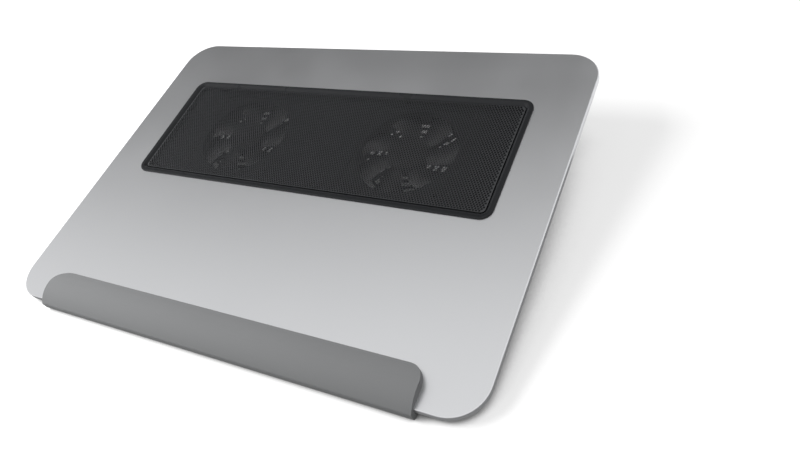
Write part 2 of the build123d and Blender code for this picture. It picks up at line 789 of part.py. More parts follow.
with BuildPart() as leg_frame:
    with BuildSketch(leg_face) as outline:
        with Locations((0, leg_reach / 2)):
            Rectangle(leg_width, leg_reach)
        fillet(outline.vertices().group_by(Axis.Y)[-1], leg_corner_radius)
    extrude(amount=leg_thickness)
    with BuildSketch(leg_face) as window:
        with Locations((0, (leg_reach - leg_crossbar) / 2)):
            Rectangle(leg_width - 2 * leg_arm_width, leg_reach - leg_crossbar)
        fillet(window.vertices().group_by(Axis.Y)[-1], leg_window_radius)
    extrude(amount=leg_thickness, mode=Mode.SUBTRACT)
    fillet(leg_frame.faces().sort_by(Axis((0, 0, 0), leg_face.z_dir))[-1].edges(), leg_edge_round)
    with BuildSketch(level(leg_top)):
        with Locations((0, hinge_y)):
            Rectangle(leg_width, leg_reach)
    extrude(amount=-hinge_drop - leg_top + leg_thickness, mode=Mode.SUBTRACT)
    for sx in (-1, 1):
        with BuildSketch(profile(sx * arm_centre)) as section:
            with BuildLine():
                Polyline(
                    (hinge_y - flange_reach, leg_top),
                    (hinge_y - flange_reach, leg_top - flange_thickness),
                    (hinge_y + flange_root, leg_top - flange_thickness),
                    leg_to_deck(0, bend_end),
                    leg_to_deck(leg_thickness / 2, bend_end),
                    (hinge_y + flange_root + leg_thickness / 2, leg_top),
                    close=True,
                )
            make_face()
            bend = (hinge_y + flange_root, leg_top - flange_thickness)
            fillet(section.vertices().sort_by_distance(bend)[0], flange_bend_radius)
        extrude(amount=leg_arm_width / 2, both=True)
    with Locations(underside(leg_top - flange_thickness)):
        with Locations(*[(x, -y) for x, y in knuckle_screw_spots]):
            CounterSinkHole(
                small_screw_radius + screw_gap, small_head_radius + screw_gap, depth=flange_thickness
            )
finish(leg_frame.part, "leg_frame")

with BuildPart(underside(leg_top - flange_thickness)) as knuckle_screws:
    with Locations(*[(x, -y) for x, y in knuckle_screw_spots]):
        screw(small_head_radius, small_head_height, small_screw_radius, flange_thickness + knuckle_bite)
finish(knuckle_screws.part, "knuckle_screws")

with BuildPart() as leg_foot_bar:
    with BuildSketch(leg_profile(-bar_length / 2)) as section:
        with BuildLine():
            Polyline(
                (leg_thickness + seat_gap, bar_height - bar_bottom),
                (leg_thickness + bar_thickness, bar_height - bar_bottom),
                (leg_thickness + bar_thickness, -bar_bottom),
                (hook_tip, -bar_bottom),
                (hook_tip, -leg_reach - seat_gap),
                (leg_thickness + seat_gap, -leg_reach - seat_gap),
                close=True,
            )
        make_face()
        fillet(section.vertices().group_by(Axis.Y)[0], bar_nose_radius)
        fillet(section.vertices().group_by(Axis.Y)[-1].sort_by(Axis.X)[-1], bar_nose_radius)
    extrude(amount=bar_length)
finish(leg_foot_bar.part, "leg_foot_bar")
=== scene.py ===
"""Looks of a sloping laptop cooling pad: its finishes, bezel, mesh, screw heads, inlet, studio and camera.

Lengths are in metres unless a name ends in mm. Deck coordinates run x to the right, y to the rear and z up
from the middle of the deck's top face, which slopes down to the front.
"""

import json
import logging
import math
from dataclasses import dataclass
from enum import Enum

import bmesh
import bpy
from mathutils import Matrix, Vector


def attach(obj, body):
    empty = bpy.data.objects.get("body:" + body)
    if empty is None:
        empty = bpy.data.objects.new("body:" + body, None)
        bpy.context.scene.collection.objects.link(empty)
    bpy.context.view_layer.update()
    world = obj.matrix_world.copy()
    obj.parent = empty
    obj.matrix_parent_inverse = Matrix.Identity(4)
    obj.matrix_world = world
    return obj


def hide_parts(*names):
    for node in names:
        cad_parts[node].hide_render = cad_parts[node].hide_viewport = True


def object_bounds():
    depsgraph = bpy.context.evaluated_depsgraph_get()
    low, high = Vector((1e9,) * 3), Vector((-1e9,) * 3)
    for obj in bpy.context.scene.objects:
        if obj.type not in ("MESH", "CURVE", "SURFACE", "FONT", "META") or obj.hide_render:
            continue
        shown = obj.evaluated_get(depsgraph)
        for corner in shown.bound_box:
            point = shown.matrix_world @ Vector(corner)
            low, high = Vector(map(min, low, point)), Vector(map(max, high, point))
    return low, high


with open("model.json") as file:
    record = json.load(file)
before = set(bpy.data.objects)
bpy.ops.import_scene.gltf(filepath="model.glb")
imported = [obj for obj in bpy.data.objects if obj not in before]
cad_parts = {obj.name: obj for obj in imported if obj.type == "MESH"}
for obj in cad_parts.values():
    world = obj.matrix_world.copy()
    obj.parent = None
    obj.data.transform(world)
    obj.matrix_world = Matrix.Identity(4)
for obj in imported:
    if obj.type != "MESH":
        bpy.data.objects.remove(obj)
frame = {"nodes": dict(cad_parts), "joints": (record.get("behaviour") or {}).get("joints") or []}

CAD_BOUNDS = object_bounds()
MM = 0.001
# Vertices nearer than this are one, and heights that agree to this many digits, a micrometre, are one level.
WELD = 0.001 * MM
LEVEL_DIGITS = 6
# Faces that meet at more than this angle show a sharp edge.
SHARP_ANGLE = math.radians(35)
# Sockets of a Mix node that mixes colours, whose names repeat.
MIX_SHARE, MIX_FIRST, MIX_SECOND, MIX_RESULT = 0, 6, 7, 2

Socket = bpy.types.NodeSocket
Tree = bpy.types.NodeTree
Material = bpy.types.Material
Shape = bmesh.types.BMesh
Ring = list[bmesh.types.BMVert]
Pair = tuple[float, float]
Triple = tuple[float, float, float]
# Each hole's six corners, by the hole's column and row.
Holes = dict[tuple[int, int], Ring]

log = logging.getLogger("cooling_pad")


# --- small helpers


def linear(code: str) -> tuple[float, float, float, float]:
    """Turns an sRGB hex colour into linear light.

    Args:
        code: a hash and six hex digits, such as "#7f8081".

    Returns:
        Red, green and blue from 0 to 1, and an alpha of 1.
    """
    parts = [int(code[i : i + 2], 16) / 255 for i in (1, 3, 5)]
    red, green, blue = (c / 12.92 if c <= 0.04045 else ((c + 0.055) / 1.055) ** 2.4 for c in parts)
    return red, green, blue, 1.0


def add_node(
    tree: Tree, kind: str, inputs: dict[str | int, object] | None = None, **settings: object
) -> bpy.types.Node:
    """Adds a shader node with its settings and links.

    Args:
        tree: the node tree it joins.
        kind: the node's Blender type without the ShaderNode that it begins with.
        inputs: each socket's name or number, with its value or the output that feeds it.
        settings: attributes of the node itself.

    Returns:
        The new node.
    """
    node = tree.nodes.new(f"ShaderNode{kind}")
    for name, value in settings.items():
        setattr(node, name, value)
    for name, value in (inputs or {}).items():
        if isinstance(value, Socket):
            tree.links.new(value, node.inputs[name])
        else:
            node.inputs[name].default_value = value
    return node


def calculate(tree: Tree, operation: str, first: float | Socket, second: float | Socket) -> Socket:
    """Works one number out of two by one of the Math node's operations."""
    return add_node(tree, "Math", {0: first, 1: second}, operation=operation).outputs[0]


def remap(tree: Tree, value: Socket, start: Pair, end: Pair) -> Socket:
    """Maps the start range onto the end range, and holds the ends beyond them."""
    ranges = {"From Min": start[0], "From Max": start[1], "To Min": end[0], "To Max": end[1]}
    return add_node(tree, "MapRange", {"Value": value, **ranges}).outputs["Result"]


def heading(degrees: float) -> Vector:
    """Gives the unit vector at an angle, anticlockwise from x."""
    return Vector((math.cos(math.radians(degrees)), math.sin(math.radians(degrees)), 0.0))


def around(ring: list) -> zip:
    """Pairs each item of a closed ring with the next one."""
    return zip(ring, ring[1:] + ring[:1])


def bridge(shape: Shape, lower: Ring, upper: Ring) -> None:
    """Joins two closed rings of as many points with a band of faces."""
    for (start, end), (above_start, above_end) in zip(around(lower), around(upper)):
        shape.faces.new((start, end, above_end, above_start))


def add_block(shape: Shape, low: Vector, high: Vector, edge: float) -> None:
    """Adds a small block with softened edges.

    Args:
        shape: the mesh being made.
        low: its lowest corner.
        high: its highest corner.
        edge: radius of its edges.
    """
    place = Matrix.Translation((low + high) / 2) @ Matrix.Diagonal((*(high - low), 1.0))
    made = bmesh.ops.create_cube(shape, size=1.0, matrix=place)
    edges = list(dict.fromkeys(e for v in made["verts"] for e in v.link_edges))
    bmesh.ops.bevel(shape, geom=edges, offset=edge, segments=2, profile=0.5, affect="EDGES")


def to_mesh(shape: Shape, name: str, smooth: bool) -> bpy.types.Mesh:
    """Turns a finished shape into a mesh.

    Args:
        shape: the shape, used up here.
        name: the mesh's name.
        smooth: whether its faces are shaded as one surface between sharp edges.

    Returns:
        The mesh.
    """
    mesh = bpy.data.meshes.new(name)
    shape.to_mesh(mesh)
    shape.free()
    if smooth:
        mesh.shade_smooth()
        mesh.set_sharp_from_angle(angle=SHARP_ANGLE)
    return mesh


def add_object(name: str, data: bpy.types.ID) -> bpy.types.Object:
    """Adds an object to the scene.

    Args:
        name: its name.
        data: its mesh, light or camera.

    Returns:
        The object.
    """
    made = bpy.data.objects.new(name, data)
    bpy.context.scene.collection.objects.link(made)
    return made


def empty_tree(owner: bpy.types.ID) -> Tree:
    """Gives a material or a world a node tree without nodes.

    Args:
        owner: the material or world.

    Returns:
        Its node tree.
    """
    owner.use_nodes = True
    owner.node_tree.nodes.clear()
    return owner.node_tree


class Body(Enum):
    """The CAD bodies that carry pieces."""

    PAD = "pad"
    LEG = "leg"


# --- where things are


@dataclass(frozen=True)
class Deck:
    """The deck's own axes, found from the fans' shafts.

    Attributes:
        fan_row: how far behind the deck's middle the fans' centres lie.
        fan_seat: how far below the deck's top face the fans stand.
    """

    fan_row: float = 38.5 * MM
    fan_seat: float = 13.4 * MM

    @property
    def matrix(self) -> Matrix:
        """Turns deck coordinates into the row's frame.

        Returns:
            The matrix that does it.
        """
        spins = [j for j in frame["joints"] if j.get("continuous")]
        up = Vector(spins[0]["axis"]).normalized()
        right = Vector((1.0, 0.0, 0.0))
        rear = up.cross(right)
        between_fans = (Vector(spins[0]["pos_m"]) + Vector(spins[1]["pos_m"])) / 2
        origin = between_fans - rear * self.fan_row + up * self.fan_seat
        return Matrix.Translation(origin) @ Matrix((right, rear, up)).transposed().to_4x4()

    def box(self, node: str) -> tuple[Vector, Vector]:
        """Measures a CAD node along the deck's axes.

        Args:
            node: the node's name.

        Returns:
            Its lowest and highest corners in deck coordinates.
        """
        to_deck = self.matrix.inverted()
        points = [to_deck @ v.co for v in frame["nodes"][node].data.vertices]
        low = Vector([min(p[i] for p in points) for i in range(3)])
        high = Vector([max(p[i] for p in points) for i in range(3)])
        return low, high

    def solids(self, node: str) -> list[list[Vector]]:
        """Splits a CAD node into its separate solids.

        Args:
            node: the node's name.

        Returns:
            Each solid's points in deck coordinates.
        """
        to_deck = self.matrix.inverted()
        shape = bmesh.new()
        shape.from_mesh(frame["nodes"][node].data)
        bmesh.ops.remove_doubles(shape, verts=shape.verts, dist=WELD)
        left = dict.fromkeys(shape.verts)
        found = []
        while left:
            to_visit = [left.popitem()[0]]
            points = []
            while to_visit:
                vertex = to_visit.pop()
                points.append(to_deck @ vertex.co)
                near = [v for v in (e.other_vert(vertex) for e in vertex.link_edges) if v in left]
                to_visit.extend(near)
                for v in near:
                    del left[v]
            found.append(points)
        shape.free()
        return found


DECK = Deck()


def new_piece(
    name: str, mesh: bpy.types.Mesh, material: Material, body: Body, replaced: tuple[str, ...] = ()
) -> None:
    """Adds a piece of the object, riding on a CAD body.

    Args:
        name: the piece's name.
        mesh: its mesh in deck coordinates.
        material: its finish.
        body: the body that carries it.
        replaced: CAD nodes that it stands for.
    """
    mesh.transform(DECK.matrix)
    mesh.materials.append(material)
    piece = add_object(name, mesh)
    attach(piece, body.value)
    if replaced:
        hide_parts(*replaced)
    log.info("built %s: %d faces", name, len(mesh.polygons))


# --- finishes


@dataclass(frozen=True)
class Finish:
    """A material and how its surface was made.

    Attributes:
        name: what a maker calls it.
        colour: its sRGB hex colour.
        roughness: the middle of its roughness.
        metallic: 1 for bare metal, 0 for the rest.
        ior: index of refraction of what isn't metal.
        specular: specular level of what isn't metal, 0.5 where its texture hides none of its shine.
        grain_mm: width of a grain of its texture.
        grain_height_mm: how far the grains stand out.
        grain_strength: how strongly the grain tilts light.
        grain_noise: detail and roughness of the grain's noise.
        cloud_mm: size of the slow changes in tone and gloss.
        cloud_noise: detail and roughness of the clouds' noise.
        cloud_range: the clouds' values at which the gloss has changed as far as it goes.
        tone_change: share by which the colour darkens and lightens.
        gloss_change: how far the roughness wanders either way.
    """

    name: str
    colour: str
    roughness: float
    metallic: float = 0.0
    ior: float = 1.5
    specular: float = 0.5
    grain_mm: float = 0.6
    grain_height_mm: float = 0.02
    grain_strength: float = 0.5
    grain_noise: Pair = (2.0, 0.6)
    cloud_mm: float = 35.0
    cloud_noise: Pair = (3.0, 0.55)
    cloud_range: Pair = (0.3, 0.7)
    tone_change: float = 0.05
    gloss_change: float = 0.04

    def build(self) -> Material:
        """Makes the material, with clouded tone and gloss over a fine grain.

        Returns:
            The material.
        """
        material = bpy.data.materials.new(self.name)
        tree = empty_tree(material)
        place = add_node(tree, "TexCoord").outputs["Object"]
        clouds = self.noise(tree, place, self.cloud_mm, self.cloud_noise)
        gloss_range = (self.roughness - self.gloss_change, self.roughness + self.gloss_change)
        grain = {
            "Height": self.relief(tree, place),
            "Strength": self.grain_strength,
            "Distance": self.grain_height_mm * MM,
        }
        surface = {
            "Base Color": self.tone(tree, clouds),
            "Roughness": remap(tree, clouds, self.cloud_range, gloss_range),
            "Normal": add_node(tree, "Bump", grain).outputs["Normal"],
            "Metallic": self.metallic,
            **self.extra_inputs(),
        }
        if not self.metallic:
            surface |= {"IOR": self.ior, "Specular IOR Level": self.specular}
        shader = add_node(tree, "BsdfPrincipled", surface).outputs["BSDF"]
        add_node(tree, "OutputMaterial", {"Surface": shader})
        return material

    def tone(self, tree: Tree, clouds: Socket) -> Socket:
        """Mixes a slightly darker and a slightly lighter shade.

        Args:
            tree: the material's node tree.
            clouds: slow noise from 0 to 1.

        Returns:
            The colour.
        """
        *middle, alpha = linear(self.colour)
        changes = (1 - self.tone_change, 1 + self.tone_change)
        dark, light = ([min(part * change, 1.0) for part in middle] for change in changes)
        shades = {MIX_SHARE: clouds, MIX_FIRST: (*dark, alpha), MIX_SECOND: (*light, alpha)}
        return add_node(tree, "Mix", shades, data_type="RGBA").outputs[MIX_RESULT]

    @staticmethod
    def noise(tree: Tree, place: Socket, size_mm: float, texture: Pair) -> Socket:
        """Adds noise from 0 to 1 with spots of that size and that detail and roughness."""
        inputs = {"Vector": place, "Scale": 1 / (size_mm * MM), "Detail": texture[0], "Roughness": texture[1]}
        return add_node(tree, "TexNoise", inputs).outputs["Fac"]

    def relief(self, tree: Tree, place: Socket) -> Socket:
        """Gives the height of the surface's fine grain at a place in object coordinates."""
        return self.noise(tree, place, self.grain_mm, self.grain_noise)

    def extra_inputs(self) -> dict[str, float]:
        """Gives the shader's inputs that only some finishes have, such as a coat's."""
        return {}

    def dress(self, *nodes: str) -> None:
        """Makes the material and gives it to CAD nodes.

        Args:
            nodes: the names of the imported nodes.
        """
        material = self.build()
        for node in nodes:
            slots = frame["nodes"][node].data.materials
            slots.clear()
            slots.append(material)
            log.info("dressed %s in %s", node, self.name)


@dataclass(frozen=True)
class MouldedRubber(Finish):
    """Thermoplastic rubber from a matt mould: dull, with a soft pale bloom at grazing angles.

    Attributes:
        bloom: how strong the bloom is.
        bloom_roughness: how wide it spreads.
    """

    bloom: float = 0.06
    bloom_roughness: float = 0.5

    def extra_inputs(self) -> dict[str, float]:
        """Gives the bloom's inputs."""
        return {"Sheen Weight": self.bloom, "Sheen Roughness": self.bloom_roughness}


@dataclass(frozen=True)
class SparkErodedPlastic(Finish):
    """Plastic from a spark-eroded mould: tiny round pits with smooth lands between them."""

    def relief(self, tree: Tree, place: Socket) -> Socket:
        """Gives the height of the pits at a place in object coordinates."""
        inputs = {"Vector": place, "Scale": 1 / (self.grain_mm * MM)}
        return add_node(tree, "TexVoronoi", inputs, feature="SMOOTH_F1").outputs["Distance"]


@dataclass(frozen=True)
class SmokedPolycarbonate(Finish):
    """Half-clear moulded plastic: light from below glows through thin blades in soft patches.

    Attributes:
        clearness: share of the light that it lets through.
    """

    clearness: float = 0.75

    def extra_inputs(self) -> dict[str, float]:
        """Gives the share of light let through."""
        return {"Transmission Weight": self.clearness}


@dataclass(frozen=True)
class Lacquered(Finish):
    """A coloured layer under clear lacquer, such as a circuit board or enamelled wire.

    Attributes:
        coat: how strong the lacquer's shine is.
        coat_roughness: the lacquer's roughness.
    """

    coat: float = 0.6
    coat_roughness: float = 0.12

    def extra_inputs(self) -> dict[str, float]:
        """Gives the lacquer's inputs."""
        return {"Coat Weight": self.coat, "Coat Roughness": self.coat_roughness}


# Bead-blasted, clear-anodised aluminium: pale and satin, it blurs reflections into soft gradients. Its
# blasted grain is about 0.1 mm, drawn at 0.35 mm so that it shows at all.
ANODISED = Finish(
    "anodised aluminium, bead blasted", "#dadbdd", 0.36, metallic=1.0, grain_mm=0.35, grain_height_mm=0.004,
    grain_strength=0.35, cloud_mm=60.0, tone_change=0.012, gloss_change=0.02,
)
# The same alloy, cut with a saw and tumbled where the leg is bent and drilled: a touch darker and rougher.
TUMBLED = Finish(
    "anodised aluminium, tumbled", "#d9dadc", 0.40, metallic=1.0, grain_mm=0.5, grain_height_mm=0.006,
    grain_strength=0.4, cloud_mm=30.0, tone_change=0.02, gloss_change=0.03,
)
# Black ABS from a spark-eroded mould: matt, with broken small highlights. Pits 0.3 mm, drawn at 0.5 mm.
HOUSING_ABS = SparkErodedPlastic(
    "black ABS, spark eroded", "#1e1f21", 0.56, ior=1.54, specular=0.25, grain_mm=0.5,
    grain_height_mm=0.012, grain_strength=0.35, cloud_mm=25.0, tone_change=0.06,
)
# Black polycarbonate blend from a satin mould: near black and even, with a dull shine along its edges.
BEZEL_PC = Finish(
    "black polycarbonate blend, satin moulded", "#262729", 0.3, specular=0.18, grain_mm=0.4,
    grain_height_mm=0.006, grain_strength=0.3, cloud_mm=40.0, tone_change=0.04,
)
# Sheet steel under black powder coat: the powder melts into a faint orange peel about 0.8 mm wide.
MESH_STEEL = Finish(
    "perforated steel, powder coated", "#393a3c", 0.42, grain_mm=0.8, grain_height_mm=0.01,
    grain_strength=0.4, cloud_mm=50.0, tone_change=0.05,
)
# Mid-grey thermoplastic rubber: dull, with a fine matt grain and a soft bloom on its shoulders.
GREY_RUBBER = MouldedRubber(
    "grey thermoplastic rubber, matt moulded", "#868788", 0.72, ior=1.52, specular=0.35, grain_mm=0.45,
    grain_height_mm=0.012, grain_strength=0.35, cloud_mm=22.0, tone_change=0.035,
)
# Black PBT of the fans' frames: dull, with a soft moulded shine.
FAN_PBT = Finish(
    "black PBT, moulded", "#18191b", 0.45, ior=1.55, specular=0.3, grain_mm=0.7, grain_height_mm=0.01,
    cloud_mm=20.0,
)
# Smoked polycarbonate of the blades: half clear and glossy, so they catch the light and let some through.
BLADE_PC = SmokedPolycarbonate(
    "smoked polycarbonate, moulded", "#3c3d40", 0.12, ior=1.58, specular=1.0, grain_mm=0.9,
    grain_height_mm=0.006, cloud_mm=20.0,
)
# Die-cast zinc: grey, softly tumbled, with fine flow marks.
DIE_CAST_ZINC = Finish(
    "zinc alloy, die cast", "#a3a4a8", 0.46, metallic=1.0, grain_mm=0.8, cloud_mm=6.0, tone_change=0.06
)
# Nickel-plated turned steel: bright and hard, with small changes of gloss.
NICKELLED_STEEL = Finish(
    "steel, nickel plated", "#c4c2bd", 0.24, metallic=1.0, grain_mm=0.3, grain_height_mm=0.003,
    cloud_mm=4.0, tone_change=0.03,
)
# Black zinc over steel, as on small screws: nearly black metal with a dull shine.
BLACK_ZINC = Finish(
    "steel, black zinc plated", "#3a3b3e", 0.38, metallic=1.0, grain_mm=0.35, grain_height_mm=0.006,
    cloud_mm=3.0, tone_change=0.08,
)
# Oil-filled sintered bronze: a fine open grain.
SINTERED_BRONZE = Finish(
    "bronze, sintered", "#b07a45", 0.5, metallic=1.0, grain_mm=0.25, cloud_mm=3.0, tone_change=0.1
)
# Pressed ferrite: dark grey ceramic with a chalky grain.
FERRITE = Finish("ferrite, pressed", "#333336", 0.7, ior=1.6, grain_mm=0.4, cloud_mm=4.0)
# Enamelled copper wire wound in coils: an orange-brown metal under a thin clear skin.
ENAMELLED_COPPER = Lacquered(
    "copper wire, enamelled", "#a4572c", 0.35, metallic=1.0, grain_mm=0.3, grain_height_mm=0.05,
    cloud_mm=2.0, tone_change=0.12,
)
# Glass-fibre board under green solder mask: the weave shows faintly through the lacquer.
SOLDER_MASK = Lacquered(
    "glass-fibre board, solder mask", "#1f6b40", 0.45, grain_mm=0.9, grain_height_mm=0.01, cloud_mm=8.0
)
# Natural nylon: milky and slightly waxy.
NYLON = Finish("nylon, moulded", "#d8d6cc", 0.42, ior=1.53, grain_mm=0.5, grain_height_mm=0.008, cloud_mm=5.0)
# PVC jacket of the wires and the inlet's insulator: black and a little glossy.
PVC = Finish("PVC jacket", "#202123", 0.4, ior=1.54, grain_height_mm=0.01, cloud_mm=12.0)
# Gold flash over nickel on the inlet's contacts: thin, bright and yellow.
GOLD_FLASH = Finish(
    "contact, gold flashed", "#d9b25f", 0.25, metallic=1.0, grain_mm=0.2, grain_height_mm=0.002, cloud_mm=2.0
)


# --- bezel and perforated mesh


@dataclass(frozen=True)
class RoundedLoop:
    """Rounded rectangles round one middle, one inside the other.

    Attributes:
        middle: their common middle.
        half: half the outermost one's width and depth.
        corner_radius: of the outermost one.
        corner_steps: straight pieces in each rounded corner.
    """

    middle: Vector
    half: Vector
    corner_radius: float
    corner_steps: int = 8

    def ring(self, inset: float, height: float) -> list[Vector]:
        """Draws one rounded rectangle.

        Args:
            inset: how far inside the outermost one it runs.
            height: its height above the deck.

        Returns:
            Its points, anticlockwise from above.
        """
        radius = self.corner_radius - inset
        reach_x, reach_y = self.half.x - self.corner_radius, self.half.y - self.corner_radius
        points = []
        for quarter, (side_x, side_y) in enumerate(((1, 1), (-1, 1), (-1, -1), (1, -1))):
            centre = Vector((self.middle.x + side_x * reach_x, self.middle.y + side_y * reach_y, height))
            for step in range(self.corner_steps + 1):
                points.append(centre + radius * heading(90 * (quarter + step / self.corner_steps)))
        return points


@dataclass
class BezelFrame:
    """The raised frame round the mesh, with a rounded outer edge and an inner edge that falls into a slot.

    Attributes:
        node: the CAD node that it stands for.
        corner_radius: of its outline.
        rise: its height above the deck.
        edge_round: radius of its outer edge.
        edge_steps: straight pieces in that edge.
        face: width of its flat top, outer edge included.
        fall: width of the slope at its inner edge.
        fall_depth: how far that slope falls.
        lap: how far it lies on the deck.
        slot: width of the slot round the mesh.
        slot_depth: of the slot's floor below the deck.
        ledge: width of the ledge that carries the mesh.
        ledge_depth: of the ledge's top below the deck.
        crease: distance over which shading turns at an edge of the flat top.
    """

    node: str = "mesh_bezel"
    corner_radius: float = 8.7 * MM
    rise: float = 1.2 * MM
    edge_round: float = 0.6 * MM
    edge_steps: int = 4
    face: float = 3.1 * MM
    fall: float = 1.9 * MM
    fall_depth: float = 1.6 * MM
    lap: float = 3.1 * MM
    slot: float = 0.6 * MM
    slot_depth: float = 2.6 * MM
    ledge: float = 1.4 * MM
    ledge_depth: float = 1.0 * MM
    crease: float = 0.08 * MM

    @property
    def wall(self) -> float:
        """Gives the inset of the slot's outer wall."""
        return self.face + self.fall

    @property
    def opening(self) -> float:
        """Gives the inset of the mesh's edge, past the slot."""
        return self.wall + self.slot

    def profile(self, floor: float) -> list[Pair]:
        """Draws the frame's section.

        Args:
            floor: height of its underside.

        Returns:
            Inset and height of each corner, from its outer foot over the top to its underside.
        """
        turns = [math.radians(90 * step / self.edge_steps) for step in range(self.edge_steps + 1)]
        radius = self.edge_round
        edge = [(radius * (1 - math.cos(turn)), self.rise - radius * (1 - math.sin(turn))) for turn in turns]
        return [
            (0.0, 0.0),
            *edge,
            (self.edge_round + self.crease, self.rise),
            (self.face - self.crease, self.rise),
            (self.face, self.rise - self.crease / 2),
            (self.face + self.crease, self.rise - self.crease),
            (self.wall, self.rise - self.fall_depth),
            (self.wall, -self.slot_depth),
            (self.opening, -self.slot_depth),
            (self.opening, -self.ledge_depth),
            (self.opening + self.ledge, -self.ledge_depth),
            (self.opening + self.ledge, floor),
            (self.lap, floor),
            (self.lap, 0.0),
        ]

    def build(self, finish: Material) -> None:
        """Sweeps the section round the mesh.

        Args:
            finish: the frame's material.
        """
        low, high = DECK.box(self.node)
        loop = RoundedLoop((low + high) / 2, (high - low) / 2, self.corner_radius)
        shape = bmesh.new()
        corners = self.profile(low.z)
        rings = [[shape.verts.new(point) for point in loop.ring(*corner)] for corner in corners]
        for outer, inner in around(rings):
            bridge(shape, outer, inner)
        bmesh.ops.recalc_face_normals(shape, faces=shape.faces)
        mesh = to_mesh(shape, "bezel_frame", smooth=True)
        new_piece("bezel_frame", mesh, finish, Body.PAD, (self.node,))


@dataclass
class PerforatedSheet:
    """The steel sheet in the bezel, punched all over with staggered six-sided holes, its edges turned down.

    A hole is known by its column, counted in half pitches, and its row. Its corners run round from 30
    degrees, and its side k lies between corners k - 1 and k and faces its neighbour k.

    Attributes:
        bezel: the frame that it lies in.
        node: the CAD node that it stands for.
        pitch: from hole to hole along a row.
        row_pitch: from row to row.
        hole_radius: from a hole's middle to its corners.
        border: least width of plain sheet round the holes.
        drop: how far its top lies below the bezel's.
        thickness: of the sheet.
        bend: radius of its turned edge.
        bend_steps: straight pieces in that edge.
        neighbours: steps in columns and rows to the six holes round a hole.
    """

    bezel: BezelFrame
    node: str = "mesh_grille"
    pitch: float = 2.12 * MM
    row_pitch: float = 1.553 * MM
    hole_radius: float = 0.88 * MM
    border: float = 0.02 * MM
    drop: float = 1.1 * MM
    thickness: float = 0.4 * MM
    bend: float = 0.15 * MM
    bend_steps: int = 3
    neighbours: tuple[tuple[int, int], ...] = ((2, 0), (1, 1), (-1, 1), (-2, 0), (-1, -1), (1, -1))

    @property
    def top(self) -> float:
        """Gives the height of the sheet's top."""
        return self.bezel.rise - self.drop

    def build(self, finish: Material) -> None:
        """Makes the sheet as a closed solid.

        Args:
            finish: the sheet's material.
        """
        low, high = DECK.box(self.bezel.node)
        inset = self.bezel.opening
        edge = Vector((inset, inset, 0.0))
        loop = RoundedLoop((low + high) / 2, (high - low) / 2 - edge, self.bezel.corner_radius - inset)
        face = bmesh.new()
        holes = self.punch(face, loop)
        self.join(face, holes)
        self.fill_border(face, holes, loop)
        mesh = self.thicken(face, loop)
        face.free()
        new_piece("perforated_sheet", mesh, finish, Body.PAD, (self.node,))

    def punch(self, face: Shape, loop: RoundedLoop) -> Holes:
        """Lays out the corners of every hole.

        Args:
            face: the flat face being made.
            loop: the sheet's outline.

        Returns:
            Each hole's six corners.
        """
        middle, half = loop.middle, loop.half
        columns = int(2 * half.x / self.pitch) + 1
        rows = int(half.y / self.row_pitch) + 1
        holes = {}
        for row in range(-rows, rows + 1):
            for column in range(-columns, columns + 1):
                across, along = column * self.pitch / 2, row * self.row_pitch
                if (column + row) % 2 or not self.has_room(abs(across), abs(along), loop):
                    continue
                centre = Vector((middle.x + across, middle.y + along, 0.0))
                corners = [centre + self.hole_radius * heading(30 + 60 * corner) for corner in range(6)]
                holes[column, row] = [face.verts.new(corner) for corner in corners]
        return holes

    def has_room(self, across: float, along: float, loop: RoundedLoop) -> bool:
        """Says whether a hole there leaves the bend and the plain border whole.

        Args:
            across: the hole's distance from the sheet's middle to the side.
            along: its distance to the front or rear.
            loop: the sheet's outline.

        Returns:
            True if it does.
        """
        reach = self.hole_radius + self.border + self.bend
        past_x = across - (loop.half.x - loop.corner_radius)
        past_y = along - (loop.half.y - loop.corner_radius)
        if past_x > 0 and past_y > 0:
            return math.hypot(past_x, past_y) < loop.corner_radius - reach
        return across < loop.half.x - reach and along < loop.half.y - reach

    def join(self, face: Shape, holes: Holes) -> None:
        """Fills the webs between neighbouring holes and the knots where three webs meet.

        Args:
            face: the flat face being made.
            holes: the holes' corners.
        """
        for (column, row), hole in holes.items():
            near = [holes.get((column + step_x, row + step_y)) for step_x, step_y in self.neighbours]
            for side in (0, 1, 2):
                across = near[side]
                if across:
                    ends = across[(side + 3) % 6], across[(side + 2) % 6]
                    face.faces.new((hole[side - 1], *ends, hole[side]))
            for side in (0, 5):
                first, second = near[side], near[(side + 1) % 6]
                if first and second:
                    face.faces.new((hole[side], first[(side + 2) % 6], second[(side + 4) % 6]))

    def fill_border(self, face: Shape, holes: Holes, loop: RoundedLoop) -> None:
        """Fills the plain border between the outermost holes and the bend.

        Args:
            face: the flat face being made.
            holes: the holes' corners.
            loop: the sheet's outline.
        """
        owner = {corner: place for place, hole in holes.items() for corner in hole}
        edges = [e for e in face.edges if e.is_boundary and owner[e.verts[0]] != owner[e.verts[1]]]
        for (column, row), hole in holes.items():
            for side, (step_x, step_y) in enumerate(self.neighbours):
                if (column + step_x, row + step_y) not in holes:
                    edges.append(face.edges.new((hole[side - 1], hole[side])))
        rim = [face.verts.new(point) for point in loop.ring(self.bend, 0.0)]
        edges.extend(face.edges.new(pair) for pair in around(rim))
        bmesh.ops.triangle_fill(face, use_beauty=True, edges=edges)

    def edge_profile(self) -> list[Pair]:
        """Draws the turned edge, from the flat top round its outside and up again inside.

        Returns:
            Inset and height of each corner between the sheet's top and its underside.
        """
        turns = [math.radians(90 * step / self.bend_steps) for step in range(1, self.bend_steps + 1)]
        bend = [(self.bend * (1 - math.sin(t)), self.top - self.bend * (1 - math.cos(t))) for t in turns]
        return [*bend, (0.0, -self.bezel.ledge_depth), (self.bend, -self.bezel.ledge_depth)]

